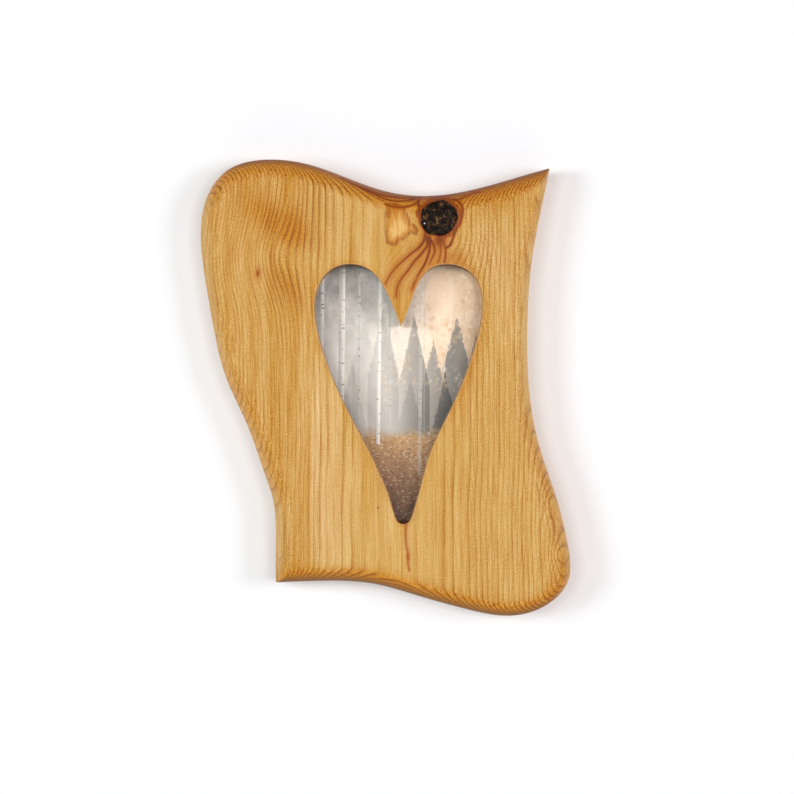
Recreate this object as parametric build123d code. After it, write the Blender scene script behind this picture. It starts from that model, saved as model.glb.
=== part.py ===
from build123d import *
from math import cos, radians
import os

# A freeform wooden picture frame with a heart shaped opening, to hang on a wall.
# Millimetres. +Z is up, the front faces -Y and the wall is the plane Y = 0.
# The origin is the point on the wall where the hanging nail goes in.

# The slab of wood
WOOD_THICKNESS = 22.0
LEFT_TOP_ROUND = 12.0
RIGHT_BOTTOM_ROUND = 9.0
BACK_ARRIS = 1.0
HEART_ARRIS = 0.6
WALL_GAP = 5.0
WOOD_BACK = -WALL_GAP

# Outline of the slab, (X, Z), from the sharp top corner down the right side
# and along the bottom to the sharp bottom corner
RIGHT_AND_BOTTOM = [
    (88.5, 20.5), (84.0, -1.5), (79.0, -28.5), (76.5, -65.0),
    (78.0, -104.5), (83.5, -131.5), (91.5, -155.5), (98.5, -183.5),
    (98.5, -203.5), (86.5, -216.5), (67.0, -222.0), (44.0, -218.5),
    (18.5, -211.5), (-7.5, -204.5), (-33.5, -203.0), (-60.0, -204.0),
]
# From the sharp bottom corner up the left side and along the hollow top
LEFT_AND_TOP = [
    (-60.0, -204.0), (-60.0, -173.5), (-61.5, -159.0), (-66.0, -145.0),
    (-75.5, -118.5), (-87.0, -92.5), (-93.5, -66.5), (-98.0, -40.5),
    (-100.5, -14.5), (-97.0, 5.0), (-86.5, 19.0), (-67.0, 25.0),
    (-40.0, 22.0), (-14.0, 12.5), (4.5, 7.0), (21.5, 5.5),
    (51.5, 10.0), (88.5, 20.5),
]

# The heart: a sharp notch between two lobes and a rounded tip
NOTCH = (8.0, -65.5)
LEFT_LOBE = [
    (4.0, -55.0), (-1.0, -44.5), (-7.5, -36.0), (-19.5, -32.0),
    (-31.5, -36.5), (-37.5, -47.0), (-38.5, -57.0), (-36.0, -72.0),
    (-22.5, -107.0), (-9.5, -132.0), (1.5, -157.0),
]
RIGHT_LOBE = [
    (17.5, -156.0), (23.0, -136.0), (36.5, -106.5), (47.5, -78.0),
    (52.0, -54.0), (48.5, -39.5), (34.0, -32.0), (23.0, -35.0),
    (17.0, -43.0), (12.5, -55.0),
]
TIP_CENTRE = (9.35, -167.2)
TIP_RADIUS = 4.5
LEFT_LEAN = 18.4
RIGHT_LEAN = 17.0

# The rebate behind the heart holds the glass, the print, the card and the board
PRINT_WIDTH = 101.6
PRINT_HEIGHT = 152.4
REBATE_CENTRE = (6.75, -101.85)
REBATE_WIDTH = 104.0
REBATE_HEIGHT = 155.0
REBATE_CORNER = 2.0
PANEL_PLAY = 0.8
PANEL_WIDTH = REBATE_WIDTH - 2 * PANEL_PLAY
PANEL_HEIGHT = REBATE_HEIGHT - 2 * PANEL_PLAY
GLASS_THICKNESS = 2.0
PRINT_THICKNESS = 0.3
CARD_THICKNESS = 1.2
BOARD_THICKNESS = 3.0
REBATE_DEPTH = GLASS_THICKNESS + PRINT_THICKNESS + CARD_THICKNESS + BOARD_THICKNESS
REBATE_FLOOR = WOOD_BACK - REBATE_DEPTH

# Brass turn buttons, which lap over the board and turn on their screws
BUTTON_PIVOTS = {
    "upper_left": (-50.5, -60.0),
    "upper_right": (64.0, -60.0),
    "lower_left": (-50.5, -140.0),
    "lower_right": (64.0, -140.0),
}
BUTTON_THICKNESS = 1.2
BUTTON_PIVOT_RADIUS = 4.5
BUTTON_TIP_RADIUS = 3.0
BUTTON_REACH = 12.0
BUTTON_EDGE = 0.4
BUTTON_GAP = 0.3
BUTTON_HOLE = 3.2
BUTTON_BACK = WOOD_BACK + BUTTON_GAP + BUTTON_THICKNESS

# Pan head screws, drawn with plain shanks
SCREW_SHANK = 3.0
SCREW_DEPTH = 10.0
SCREW_POINT = 2.0
SCREW_POINT_TAPER = 30.0
SCREW_HEAD = 6.0
SCREW_HEAD_HEIGHT = 1.8
SCREW_HEAD_ROUND = 1.1
SCREW_HEAD_GAP = 0.2
PILOT_PLAY = 0.05
DRIVE_WIDTH = 0.9
DRIVE_LENGTH = 3.2
DRIVE_DEPTH = 0.9

# The D-ring hanger
NAIL_RADIUS = 1.25
RING_WIRE = 2.0
RING_WIDTH = 14.0
RING_HEIGHT = 9.0
RING_CORNER = 1.6
RING_LEAN = 3.8
STRAP_WIDTH = 10.0
STRAP_SHEET = 0.8
STRAP_BORE = 2.2
STRAP_LENGTH = 14.0
STRAP_FOOT_RADIUS = 4.5
STRAP_SCREW_DROP = 8.2
BARREL_RADIUS = STRAP_BORE / 2 + STRAP_SHEET
RING_PIVOT_Y = WOOD_BACK + BARREL_RADIUS
RING_TOP_Z = NAIL_RADIUS + RING_WIRE / 2
RING_PIVOT_Z = RING_TOP_Z - RING_HEIGHT * cos(radians(RING_LEAN))
HANGER_SCREW = (0.0, RING_PIVOT_Z - STRAP_SCREW_DROP)

# Rubber pads that stand the frame off the wall
PADS = {
    "upper_left": (-80.0, 0.0),
    "upper_right": (72.0, 2.0),
    "lower_left": (-47.0, -191.0),
    "lower_right": (80.0, -196.0),
}
PAD_RADIUS = 6.0
PAD_EDGE = 1.0


def upright(y):
    """A plane parallel to the wall at depth y, drawn in X and Z, facing the front."""
    return Plane(origin=(0, y, 0), x_dir=(1, 0, 0), z_dir=(0, -1, 0))


def at(place, y):
    """The upright plane at depth y, moved to a place (X, Z)."""
    return upright(y) * Pos(place[0], place[1])


def slab_outline():
    right = Spline(*RIGHT_AND_BOTTOM)
    left = Spline(*LEFT_AND_TOP)
    return make_face([right, left])


def heart_outline():
    tip = CenterArc(TIP_CENTRE, TIP_RADIUS, 180 + LEFT_LEAN, 180 - LEFT_LEAN - RIGHT_LEAN)
    left_start = Vector(*LEFT_LOBE[0]) - Vector(*NOTCH)
    right_end = Vector(*NOTCH) - Vector(*RIGHT_LOBE[-1])
    left = Spline(NOTCH, *LEFT_LOBE, tip @ 0, tangents=(left_start, tip % 0))
    right = Spline(tip @ 1, *RIGHT_LOBE, NOTCH, tangents=(tip % 1, right_end))
    return make_face([left, tip, right])


def panel(front, thickness, width, height):
    """A flat panel centred in the rebate with its front face at depth front."""
    outline = Rectangle(width, height)
    return extrude(at(REBATE_CENTRE, front + thickness) * outline, amount=thickness)


def screw(place, seat, head_gap):
    """A screw driven into the back of the wood, its head head_gap above the seat."""
    under_head = seat + head_gap
    head_top = under_head + SCREW_HEAD_HEIGHT
    head = extrude(at(place, head_top) * Circle(SCREW_HEAD / 2), amount=SCREW_HEAD_HEIGHT)
    rim = head.faces().sort_by(Axis.Y)[-1].edges()
    head = fillet(rim, SCREW_HEAD_ROUND)
    point_start = WOOD_BACK - SCREW_DEPTH + SCREW_POINT
    shank = extrude(at(place, under_head) * Circle(SCREW_SHANK / 2), amount=under_head - point_start)
    point_end = Circle(SCREW_SHANK / 2)
    point = extrude(at(place, point_start) * point_end, amount=SCREW_POINT, taper=SCREW_POINT_TAPER)
    cross = Rectangle(DRIVE_LENGTH, DRIVE_WIDTH) + Rectangle(DRIVE_WIDTH, DRIVE_LENGTH)
    drive = extrude(at(place, head_top) * cross, amount=DRIVE_DEPTH)
    return head + shank + point - drive


def pilot_hole(place):
    radius = SCREW_SHANK / 2 + PILOT_PLAY
    return extrude(at(place, WOOD_BACK) * Circle(radius), amount=SCREW_DEPTH)


def frame_body(screw_places):
    block = extrude(upright(WOOD_BACK) * slab_outline(), amount=WOOD_THICKNESS)
    left_and_top, right_and_bottom = block.faces().sort_by(Axis.Y)[0].edges().sort_by(Axis.X)
    rounded_left = fillet(left_and_top, LEFT_TOP_ROUND)
    sanded_off_right = block - fillet(right_and_bottom, RIGHT_BOTTOM_ROUND)
    slab = rounded_left - sanded_off_right
    back_edges = slab.faces().sort_by(Axis.Y)[-1].edges()
    slab = chamfer(back_edges, BACK_ARRIS)
    heart = extrude(upright(WOOD_BACK) * heart_outline(), amount=WOOD_THICKNESS)
    rebate_outline = RectangleRounded(REBATE_WIDTH, REBATE_HEIGHT, REBATE_CORNER)
    rebate = extrude(at(REBATE_CENTRE, WOOD_BACK) * rebate_outline, amount=REBATE_DEPTH)
    slab = slab - heart
    heart_edges = slab.faces().sort_by(Axis.Y)[0].inner_wires()[0].edges()
    slab = fillet(heart_edges, HEART_ARRIS)
    slab = slab - rebate
    for place in screw_places:
        slab = slab - pilot_hole(place)
    return slab


def turn_button(place, points_right):
    """A brass turn button lying across the edge of the board."""
    way = 1 if points_right else -1
    tip_centre = Pos(way * (BUTTON_REACH - BUTTON_TIP_RADIUS), 0)
    ends = Sketch() + Circle(BUTTON_PIVOT_RADIUS) + tip_centre * Circle(BUTTON_TIP_RADIUS)
    outline = make_hull(ends.edges())
    blank = extrude(at(place, BUTTON_BACK) * outline, amount=BUTTON_THICKNESS)
    rim = blank.faces().sort_by(Axis.Y)[-1].edges()
    blank = fillet(rim, BUTTON_EDGE)
    hole = extrude(at(place, 0) * Circle(BUTTON_HOLE / 2), amount=WALL_GAP)
    return blank - hole


def hanger_ring():
    """A D of round wire: a straight bar to turn on and an arch for the nail."""
    half = RING_WIDTH / 2
    arm = RING_HEIGHT - half
    arch = CenterArc((0, arm), half, 0, 180)
    left_arm = Line((-half, arm), (-half, 0))
    bar = Line((-half, 0), (half, 0))
    right_arm = Line((half, 0), (half, arm))
    path = Wire([arch, left_arm, bar, right_arm])
    corners = path.vertices().filter_by(lambda corner: abs(corner.Y) < 0.01)
    path = path.fillet_2d(RING_CORNER, corners)
    section = Plane(origin=(0, 0, 0), x_dir=(0, 1, 0), z_dir=(1, 0, 0)) * Circle(RING_WIRE / 2)
    ring = sweep(section, path)
    return Pos(0, RING_PIVOT_Y, RING_PIVOT_Z) * Rot(90 + RING_LEAN, 0, 0) * ring


def hanger_strap():
    """Sheet folded double round the bar of the ring, with one screw hole."""
    across = Plane(origin=(-STRAP_WIDTH / 2, 0, 0), x_dir=(0, 1, 0), z_dir=(1, 0, 0))
    fold = Circle(BARREL_RADIUS)
    leaf_depth = 2 * STRAP_SHEET
    leaf_centre = Pos(leaf_depth / 2 - BARREL_RADIUS, -STRAP_LENGTH / 2)
    leaf = leaf_centre * Rectangle(leaf_depth, STRAP_LENGTH)
    side = fold + leaf - Circle(STRAP_BORE / 2)
    strap = extrude(across * side, amount=STRAP_WIDTH)
    strap = Pos(0, RING_PIVOT_Y, RING_PIVOT_Z) * strap
    foot = strap.edges().filter_by(Axis.Y).sort_by(Axis.Z)[:2]
    strap = fillet(foot, STRAP_FOOT_RADIUS)
    hole = extrude(at(HANGER_SCREW, 0) * Circle(SCREW_SHANK / 2 + PILOT_PLAY), amount=WALL_GAP)
    return strap - hole


def wall_pad(place):
    pad = extrude(at(place, 0) * Circle(PAD_RADIUS), amount=WALL_GAP)
    rim = pad.faces().sort_by(Axis.Y)[-1].edges()
    return fillet(rim, PAD_EDGE)


def build():
    parts = {}
    parts["frame_body"] = frame_body([*BUTTON_PIVOTS.values(), HANGER_SCREW])
    depth = REBATE_FLOOR
    parts["glass_pane"] = panel(depth, GLASS_THICKNESS, PANEL_WIDTH, PANEL_HEIGHT)
    depth = depth + GLASS_THICKNESS
    parts["photo_print"] = panel(depth, PRINT_THICKNESS, PRINT_WIDTH, PRINT_HEIGHT)
    depth = depth + PRINT_THICKNESS
    parts["filler_card"] = panel(depth, CARD_THICKNESS, PRINT_WIDTH, PRINT_HEIGHT)
    depth = depth + CARD_THICKNESS
    parts["backing_board"] = panel(depth, BOARD_THICKNESS, PANEL_WIDTH, PANEL_HEIGHT)
    for name, place in BUTTON_PIVOTS.items():
        parts["turn_button_" + name] = turn_button(place, place[0] < REBATE_CENTRE[0])
        parts["button_screw_" + name] = screw(place, BUTTON_BACK, SCREW_HEAD_GAP)
    parts["hanger_ring"] = hanger_ring()
    parts["hanger_strap"] = hanger_strap()
    parts["hanger_screw"] = screw(HANGER_SCREW, WOOD_BACK + 2 * STRAP_SHEET, 0)
    for name, place in PADS.items():
        parts["wall_pad_" + name] = wall_pad(place)
    return parts


os.makedirs("parts", exist_ok=True)
for node, shape in build().items():
    export_step(shape, "parts/" + node + ".step")
    box = shape.bounding_box()
    print(node, "%.1f x %.1f x %.1f mm" % (box.size.X, box.size.Y, box.size.Z))
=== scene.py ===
# %% [markdown]
# # A photo frame with a heart window, in oiled pine
# One thick board of pine, sawn to a wavy outline, rounded over at the front edge and pierced by a heart.
# A pane of glass, a photo print, a card and a board lie in a recess at the back, held by four turn buttons.
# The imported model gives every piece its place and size. This file adds the looks around it, cell by cell.

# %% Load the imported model
import math

import bmesh
import bpy
import numpy as np
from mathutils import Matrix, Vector, noise
from mathutils.geometry import delaunay_2d_cdt


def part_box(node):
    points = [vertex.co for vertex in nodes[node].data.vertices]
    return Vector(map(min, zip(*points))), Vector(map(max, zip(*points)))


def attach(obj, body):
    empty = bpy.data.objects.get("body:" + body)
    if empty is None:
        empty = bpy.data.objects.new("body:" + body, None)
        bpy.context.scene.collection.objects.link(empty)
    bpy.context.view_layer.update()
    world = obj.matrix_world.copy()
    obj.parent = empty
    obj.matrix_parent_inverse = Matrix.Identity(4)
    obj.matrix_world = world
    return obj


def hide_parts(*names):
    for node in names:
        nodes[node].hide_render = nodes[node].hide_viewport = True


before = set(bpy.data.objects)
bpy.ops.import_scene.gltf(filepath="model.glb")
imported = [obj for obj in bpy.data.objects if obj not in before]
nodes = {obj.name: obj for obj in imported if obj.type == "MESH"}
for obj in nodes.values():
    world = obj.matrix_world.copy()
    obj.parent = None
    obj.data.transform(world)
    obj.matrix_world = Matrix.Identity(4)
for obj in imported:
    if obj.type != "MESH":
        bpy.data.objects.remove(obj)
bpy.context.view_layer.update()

MM = 0.001
print("packed pieces:", ", ".join(sorted(nodes)))

# %% [markdown]
# ## Colours and nodes
# Colours are written as sRGB hex values, the way a paint card gives them. Blender's shaders work in linear
# light, so one function turns each value. A second function adds a shader node with its settings and links,
# and every material below is built with it. Patterns are sized in millimetres, so two more functions give a
# point's place in mm and a noise that is drawn out along the grain. The last one lays colours over a ground,
# like coats of stain.

# %% Helpers for materials
def linear(hex_colour):
    """An sRGB colour such as "#d9a050" as linear red, green, blue and alpha."""
    shares = [int(hex_colour[i:i + 2], 16) / 255 for i in (1, 3, 5)]
    return tuple(s / 12.92 if s <= 0.04045 else ((s + 0.055) / 1.055) ** 2.4 for s in shares) + (1.0,)


def node(tree, kind, inputs=None, stops=None, **settings):
    """Adds a shader node. A socket among the inputs is linked, any other value is set. Gives the outputs."""
    made = tree.nodes.new("ShaderNode" + kind)
    for name, value in settings.items():
        setattr(made, name, value)
    if stops:
        ramp = made.color_ramp
        while len(ramp.elements) < len(stops):
            ramp.elements.new(0.5)
        for element, (place, value) in zip(ramp.elements, stops):
            element.position = place
            element.color = linear(value) if isinstance(value, str) else (value, value, value, 1.0)
    for socket, value in (inputs or {}).items():
        if isinstance(value, bpy.types.NodeSocket):
            tree.links.new(value, made.inputs[socket])
        else:
            made.inputs[socket].default_value = value
    return made.outputs


def new_material(name):
    """An empty node material and its tree."""
    material = bpy.data.materials.new(name)
    material.use_nodes = True
    material.node_tree.nodes.clear()
    return material, material.node_tree


def place_in_mm(tree):
    """Where a point of the object lies, in mm."""
    place = node(tree, "TexCoord")
    return node(tree, "VectorMath", {0: place["Object"], 3: 1 / MM}, operation="SCALE")["Vector"]


def long_noise(tree, where, across, along, detail, roughness=0.5):
    """Noise over a place in mm, with its size in mm across the upright grain and along it."""
    share = (1 / across, 1 / across, 1 / along)
    drawn_out = node(tree, "VectorMath", {0: where, 1: share}, operation="MULTIPLY")
    return node(tree, "TexNoise", {"Vector": drawn_out["Vector"], "Scale": 1.0, "Detail": detail,
                                   "Roughness": roughness})["Fac"]


def layered(tree, ground, *layers):
    """Lays colours, as hex values or sockets, over a ground one after another. Each comes with its share."""
    for share, colour in layers:
        under, over = (linear(c) if isinstance(c, str) else c for c in (ground, colour))
        ground = node(tree, "Mix", {0: share, 6: under, 7: over}, data_type="RGBA")[2]
    return ground


print("honey brown in linear light:", [round(c, 3) for c in linear("#d9a050")])

# %% [markdown]
# ## The wall, the floor and the light
# The frame hangs close to a white wall and is lit softly from both sides, so a pale shadow stands at its left
# and at its right. Two soft boxes at about 45 degrees make these shadows. Two fills in front, a lamp for the
# back and a pale room do the rest. The paint lets a ray through from behind, so the wall doesn't hide the
# back of the frame.

# %% Wall and floor
WALL_HALF = 3.0
WALL_GAP = 0.0004
FLOOR_DROP = 1.4
GRAINS_ACROSS = 900.0  # 6.7 mm each, coarser than the stipple of a real roller so that it shows

# Rolled emulsion: white and quite matt, with a faint stipple. A little light of its own keeps it clean.
backdrop, tree = new_material("matt white wall paint, rolled")
paint_grain = node(tree, "TexNoise", {"Scale": GRAINS_ACROSS, "Detail": 2.0})
paint_bump = node(tree, "Bump", {"Strength": 0.04, "Distance": 0.5 * MM, "Height": paint_grain["Fac"]})
paint = node(tree, "BsdfPrincipled", {"Base Color": linear("#ebebeb"), "Roughness": 0.9,
                                      "Specular IOR Level": 0.1, "Normal": paint_bump["Normal"],
                                      "Emission Color": linear("#ffffff"), "Emission Strength": 0.05})
clear = node(tree, "BsdfTransparent")
facing = node(tree, "NewGeometry")
one_sided = node(tree, "MixShader", {0: facing["Backfacing"], 1: paint["BSDF"], 2: clear["BSDF"]})
node(tree, "OutputMaterial", {"Surface": one_sided["Shader"]})


def stage_plane(name, corners):
    """A flat sheet of the stage, facing the side from which its corners run anticlockwise."""
    mesh = bpy.data.meshes.new(name)
    mesh.from_pydata(corners, [], [(0, 1, 2, 3)])
    mesh.materials.append(backdrop)
    sheet = bpy.data.objects.new(name, mesh)
    bpy.context.scene.collection.objects.link(sheet)
    sheet.visible_shadow = False


w, low = WALL_HALF, -FLOOR_DROP
stage_plane("wall", [(-w, WALL_GAP, low), (w, WALL_GAP, low), (w, WALL_GAP, w), (-w, WALL_GAP, w)])
stage_plane("floor", [(-w, -w, low), (w, -w, low), (w, w, low), (-w, w, low)])
print("stage: a wall and a floor", 2 * w, "m wide")

# %% Soft light
CENTRE = Vector((0.0059, -0.027, -0.1033))
ROOM_LIGHT = 0.1
LAMPS = [
    # name, place in m, side in m, watts, colour
    ("left soft box", (-1.05, -1.05, 0.01), 0.5, 10.4, "#edf6fd"),
    ("right soft box", (1.05, -1.05, 0.01), 0.5, 8.4, "#fbf7ff"),
    ("front fill left", (-0.55, -1.9, 0.12), 0.6, 9.2, "#fffdfa"),
    ("front fill right", (0.55, -1.9, -0.08), 0.6, 9.2, "#fffdfa"),
    ("back light", (0.5, 1.4, 0.5), 1.0, 12.0, "#ffffff"),
]


def aim(thing, place):
    """Puts a lamp or the camera at a place, facing the middle of the frame."""
    thing.location = place
    thing.rotation_euler = (CENTRE - thing.location).to_track_quat("-Z", "Y").to_euler()
    bpy.context.scene.collection.objects.link(thing)


for name, place, side, watts, colour in LAMPS:
    lamp = bpy.data.lights.new(name, "AREA")
    lamp.shape = "SQUARE"
    lamp.size = side
    lamp.energy = watts
    lamp.color = linear(colour)[:3]
    aim(bpy.data.objects.new(name, lamp), place)

room = bpy.data.worlds.new("pale room")
room.use_nodes = True
background = room.node_tree.nodes["Background"]
background.inputs["Color"].default_value = linear("#ffffff")
background.inputs["Strength"].default_value = ROOM_LIGHT
bpy.context.scene.world = room
bpy.context.scene.view_settings.view_transform = "Standard"

# %% [markdown]
# ## The camera
# The photograph looks straight at the front from a little over a metre, with a long lens, so the sides hardly
# show. The camera stands a little higher than the middle and looks down by less than a degree.

# %% Camera
CAMERA_DISTANCE = 1.1
CAMERA_RISE = 0.017
IMAGE_SIDE = 794
PIXELS_PER_METRE = 1862.0

camera_data = bpy.data.cameras.new("camera")
camera_data.sensor_width = 36.0
camera_data.lens = PIXELS_PER_METRE * CAMERA_DISTANCE / IMAGE_SIDE * camera_data.sensor_width
camera = bpy.data.objects.new("camera", camera_data)
aim(camera, CENTRE + Vector((0.0, -CAMERA_DISTANCE, CAMERA_RISE)))
bpy.context.scene.camera = camera
print("lens in mm:", round(camera_data.lens, 1))

# %% [markdown]
# ## The pine board: reading its outlines
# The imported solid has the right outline, but its flat front is only a few large triangles. The board is built
# again here as a finer mesh, so that the rounded edge is soft, the knot can be carved and the grain can flow.
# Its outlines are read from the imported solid: every edge of the skin that lies at one depth, put in order.

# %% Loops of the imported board
SAME_DEPTH = 0.002  # mm


def loops_at(name, depth):
    """Closed loops of (x, z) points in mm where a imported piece's skin turns at a depth, largest first."""
    mesh = nodes[name].data
    places = np.array([v.co for v in mesh.vertices]) / MM
    places, same = np.unique(np.round(places, 4), axis=0, return_inverse=True)
    same = same.ravel()
    at_depth = np.abs(places[:, 1] - depth) < SAME_DEPTH
    following = {}
    mesh.calc_loop_triangles()
    for triangle in mesh.loop_triangles:
        corners = [same[i] for i in triangle.vertices]
        if all(at_depth[c] for c in corners):
            continue
        for a, b in zip(corners, corners[1:] + corners[:1]):
            if at_depth[a] and at_depth[b] and a != b:
                following.setdefault(a, set()).add(b)
                following.setdefault(b, set()).add(a)
    loops = []
    while following:
        start = min(following)
        loop = [start]
        while True:
            ahead = following.pop(loop[-1]) - {loop[-2] if len(loop) > 1 else None}
            ahead = [p for p in ahead if p in following]
            if not ahead:
                break
            loop.append(min(ahead))
        loops.append(anticlockwise(places[loop][:, [0, 2]]))
    return sorted(loops, key=lambda p: -abs(area(p)))


def area(points):
    """Signed area of a closed loop."""
    x, z = points.T
    return 0.5 * np.sum(x * np.roll(z, -1) - np.roll(x, -1) * z)


def anticlockwise(points):
    """A closed loop in the order that keeps its inside at the left."""
    return points if area(points) > 0 else points[::-1]


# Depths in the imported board, as y in mm: the front faces -y
SIDE_BACK = -6.0
BACK = -5.0
REBATE_FLOOR = -11.5
ARRIS_INNER = -26.4

outline_raw = loops_at("frame_body", SIDE_BACK)[0]
heart_raw = loops_at("frame_body", ARRIS_INNER)[0]
back_raw = loops_at("frame_body", BACK)
print("outline", len(outline_raw), "points, heart", len(heart_raw), "points")
print("points of the loops at the back:", [len(p) for p in back_raw])

# %% Even spacing along the loops
def corners_of(points, turn=math.radians(40)):
    """Places in a closed loop where it turns sharply."""
    ahead = np.roll(points, -1, 0) - points
    behind = points - np.roll(points, 1, 0)
    angle = np.arctan2(ahead[:, 1], ahead[:, 0]) - np.arctan2(behind[:, 1], behind[:, 0])
    angle = np.abs((angle + math.pi) % (2 * math.pi) - math.pi)
    return [int(i) for i in np.flatnonzero(angle > turn)]


def smooth_run(points, spacing):
    """Points at an even spacing on a smooth curve through an open run of points, its last point left out."""
    step = np.linalg.norm(np.diff(points, axis=0), axis=1)
    along = np.concatenate([[0.0], np.cumsum(step)])
    slope = np.diff(points, axis=0) / step[:, None]
    tangent = np.empty_like(points)
    share = (step[:-1] / (step[:-1] + step[1:]))[:, None]
    tangent[1:-1] = slope[:-1] * (1 - share) + slope[1:] * share
    tangent[0] = 2 * slope[0] - tangent[1]
    tangent[-1] = 2 * slope[-1] - tangent[-2]
    count = max(2, round(along[-1] / spacing))
    wanted = np.linspace(0, along[-1], count + 1)[:-1]
    i = np.clip(np.searchsorted(along, wanted, side="right") - 1, 0, len(step) - 1)
    h = step[i][:, None]
    t = ((wanted - along[i]) / step[i])[:, None]
    return ((2 * t ** 3 - 3 * t ** 2 + 1) * points[i] + (t ** 3 - 2 * t ** 2 + t) * h * tangent[i]
            + (3 * t ** 2 - 2 * t ** 3) * points[i + 1] + (t ** 3 - t ** 2) * h * tangent[i + 1])


def closed(loop):
    """A loop with its first point repeated at the end."""
    return np.vstack([loop, loop[:1]])


def even_loop(points, spacing):
    """A closed loop at an even spacing that keeps its sharp corners, and which of its points are corners."""
    sharp = corners_of(points)
    points = np.roll(points, -sharp[0], axis=0)
    cuts = [c - sharp[0] for c in sharp] + [len(points)]
    ring = closed(points)
    runs = [smooth_run(ring[a:b + 1], spacing) for a, b in zip(cuts, cuts[1:])]
    starts = np.cumsum([0] + [len(r) for r in runs[:-1]])
    return np.vstack(runs), [int(s) for s in starts]


EDGE_SPACING = 1.1  # mm
HEART_SPACING = 0.9  # mm
outline, outline_corners = even_loop(outline_raw, EDGE_SPACING)
outline = np.clip(outline, outline_raw.min(0), outline_raw.max(0))
heart, heart_corners = even_loop(heart_raw, HEART_SPACING)
print("outline", len(outline), "points with", len(outline_corners), "corners")
print("heart", len(heart), "points with", len(heart_corners), "corners")

# %% [markdown]
# ## The pine board: the rounded front
# Router and sandpaper round the front edge, wider along the left and top than along the right and bottom, so
# depth depends only on how far a point lies from the outline. The front is a net of points: rows that follow
# the edge, an even spread over the flat, a finer spread where the wood is marked, and rows at the heart where
# the arris is eased. A Delaunay triangulation joins them, and each point is then pushed to its depth.

# %% Offsets and distances
def inward(points):
    """For each point of an anticlockwise loop, the step that moves it and its sides 1 mm inside."""
    ahead = np.roll(points, -1, 0) - points
    behind = points - np.roll(points, 1, 0)
    ahead /= np.linalg.norm(ahead, axis=1)[:, None]
    behind /= np.linalg.norm(behind, axis=1)[:, None]
    middle = (ahead + behind)
    middle /= np.linalg.norm(middle, axis=1)[:, None]
    normal = np.stack([-middle[:, 1], middle[:, 0]], axis=1)
    square = np.stack([-ahead[:, 1], ahead[:, 0]], axis=1)
    return normal / np.sum(normal * square, axis=1)[:, None]


BATCH = 1500  # points at a time, to spare memory


def distance_to(path, points):
    """Distance of points to a run of points, in mm."""
    a = path[:-1]
    b = path[1:] - a
    found = np.empty(len(points))
    for first in range(0, len(points), BATCH):
        p = points[first:first + BATCH, None, :] - a[None]
        t = np.clip(np.sum(p * b, axis=2) / np.sum(b * b, axis=1), 0, 1)
        found[first:first + BATCH] = np.sqrt(np.sum((p - t[..., None] * b) ** 2, axis=2)).min(axis=1)
    return found


def inside(loop, points):
    """Which points lie inside a closed loop."""
    x, z = points[:, 0][:, None], points[:, 1][:, None]
    x1, z1 = loop.T
    x2, z2 = np.roll(loop, -1, 0).T
    crosses = (z1 > z) != (z2 > z)
    with np.errstate(divide="ignore", invalid="ignore"):
        at = x1 + (z - z1) * (x2 - x1) / (z2 - z1)
    return np.sum(crosses & (x < at), axis=1) % 2 == 1


top_corner, bottom_corner = sorted(outline_corners, key=lambda i: -outline[i, 1])
outline = np.roll(outline, -top_corner, axis=0)
bottom_corner = (bottom_corner - top_corner) % len(outline)
left_and_top = outline[:bottom_corner + 1]
right_and_bottom = closed(outline)[bottom_corner:]
print("left and top:", len(left_and_top), "points; right and bottom:", len(right_and_bottom), "points")

# %% Depth of the front
FRONT = -27.0
LEFT_TOP_ROUND = 12.0
RIGHT_BOTTOM_ROUND = 9.0
HEART_ARRIS = ARRIS_INNER - FRONT
KNOT = np.array([28.4, -7.2])
KNOT_RADIUS = 9.8


def knot_edge(angle):
    """Radius of the knot's rim by direction: nearly round, with three small waves."""
    return KNOT_RADIUS * (1 + 0.035 * np.sin(2 * angle + 0.6) + 0.025 * np.sin(5 * angle + 1.0)
                          + 0.015 * np.sin(9 * angle + 2.0))


def knot_relief(points):
    """How far the dead knot lies below the front: sunk, cracked and crumbly, with a gap along its rim."""
    from_knot = points - KNOT
    radius = np.hypot(*from_knot.T)
    share = radius / knot_edge(np.arctan2(from_knot[:, 1], from_knot[:, 0]))
    sunk = np.zeros(len(points))
    # Crumbs of about 2 mm, cracks some 3 mm apart, and a groove just inside the rim
    for i in np.flatnonzero(share < 1.15):
        place = Vector((points[i, 0], points[i, 1], 0.0))
        crumble = noise.fractal(place * 0.55, 1.0, 2.0, 4)
        crack = max(0.0, 1 - abs(noise.noise(place * 0.32 + Vector((7.0, 3.0, 0.0)))) / 0.12)
        body = min(1.0, max(0.0, (0.97 - share[i]) / 0.08))
        rim = math.exp(-((share[i] - 0.92) / 0.04) ** 2)
        sunk[i] = body * (0.55 + 0.45 * crumble + 0.5 * crack) + 0.55 * rim
    return sunk


def rounded(path, radius, points):
    """How far an edge rounded to a radius has dropped below the flat front, in mm."""
    reach = np.clip(distance_to(path, points), 0.0, radius)
    return radius - np.sqrt(radius ** 2 - (radius - reach) ** 2)


def front_depth(points):
    """Depth of the front surface, y in mm, at (x, z) points."""
    drop = np.maximum(rounded(left_and_top, LEFT_TOP_ROUND, points),
                      rounded(right_and_bottom, RIGHT_BOTTOM_ROUND, points))
    return FRONT + drop + rounded(closed(heart), HEART_ARRIS, points) + knot_relief(points)


print("deepest part of the knot in mm:",
      round(float(knot_relief(KNOT + np.random.default_rng(1).uniform(-9, 9, (400, 2))).max()), 2))

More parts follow.
